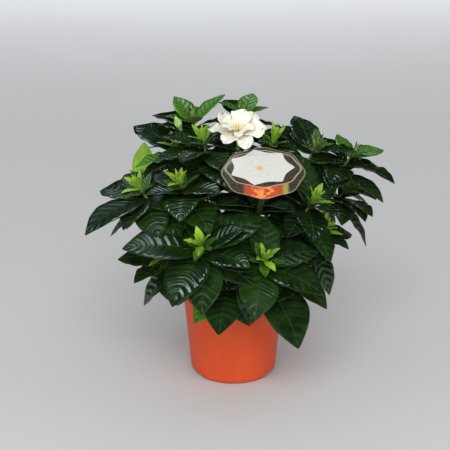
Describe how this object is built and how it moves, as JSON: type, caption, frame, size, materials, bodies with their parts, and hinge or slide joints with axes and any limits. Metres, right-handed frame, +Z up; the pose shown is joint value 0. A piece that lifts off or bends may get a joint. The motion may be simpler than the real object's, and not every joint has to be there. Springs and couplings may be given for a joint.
{
  "type": "potted gardenia",
  "caption": "Bushy gardenia in flower with glossy leaves, pale young tips and a bud, in a small round grower's pot of terracotta-coloured plastic, with a scalloped plant label on a stake.",
  "frame": {"origin": "middle of the pot's underside, on the surface it stands on", "axes": "+Z up along the pot's axis, -Y towards the front that carries the label and the flower, +X to the right seen from the front"},
  "size_m": [0.3605, 0.3301, 0.3413],
  "materials": {
    "pot": "satin",
    "soil": "matte",
    "stem": "matte",
    "mature_leaf": "gloss",
    "young_leaf": "satin",
    "calyx": "satin",
    "petal": "matte",
    "inner_petal": "matte",
    "style": "matte",
    "bud": "satin",
    "card": "satin",
    "stake": "satin"
  },
  "bodies": {
    "root": {"flower_bud": "bud", "flower_calyx": "calyx", "flower_style": "style", "label_card": "card", "label_stake": "stake", "leaves_back": "mature_leaf", "leaves_back_left": "mature_leaf", "leaves_back_low_left": "mature_leaf", "leaves_back_low_right": "mature_leaf", "leaves_back_right": "mature_leaf", "leaves_back_upper_left": "mature_leaf", "leaves_back_upper_right": "mature_leaf", "leaves_flower_left": "mature_leaf", "leaves_flower_right": "mature_leaf", "leaves_front_left": "mature_leaf", "leaves_front_right": "mature_leaf", "leaves_inner": "mature_leaf", "leaves_inner_left": "mature_leaf", "leaves_inner_right": "mature_leaf", "leaves_left": "mature_leaf", "leaves_low_front": "mature_leaf", "leaves_low_front_right": "mature_leaf", "leaves_low_left": "mature_leaf", "leaves_low_right": "mature_leaf", "leaves_right": "mature_leaf", "leaves_right_front": "mature_leaf", "leaves_top": "mature_leaf", "leaves_top_left": "mature_leaf", "leaves_upper_inner_right": "mature_leaf", "leaves_upper_left": "mature_leaf", "leaves_upper_right": "mature_leaf", "petals_inner": "inner_petal", "petals_outer": "petal", "pot": "pot", "potting_soil": "soil", "stem_back_left": "stem", "stem_back_right": "stem", "stem_front_left": "stem", "stem_front_right": "stem", "young_leaves_back": "young_leaf", "young_leaves_back_left": "young_leaf", "young_leaves_back_right": "young_leaf", "young_leaves_back_upper_left": "young_leaf", "young_leaves_back_upper_right": "young_leaf", "young_leaves_flower_left": "young_leaf", "young_leaves_flower_right": "young_leaf", "young_leaves_front_left": "young_leaf", "young_leaves_front_right": "young_leaf", "young_leaves_inner_left": "young_leaf", "young_leaves_inner_right": "young_leaf", "young_leaves_left": "young_leaf", "young_leaves_low_left": "young_leaf", "young_leaves_low_right": "young_leaf", "young_leaves_right": "young_leaf", "young_leaves_right_front": "young_leaf", "young_leaves_top": "young_leaf", "young_leaves_top_left": "young_leaf", "young_leaves_upper_inner_right": "young_leaf", "young_leaves_upper_left": "young_leaf", "young_leaves_upper_right": "young_leaf"}
  },
  "joints": []
}
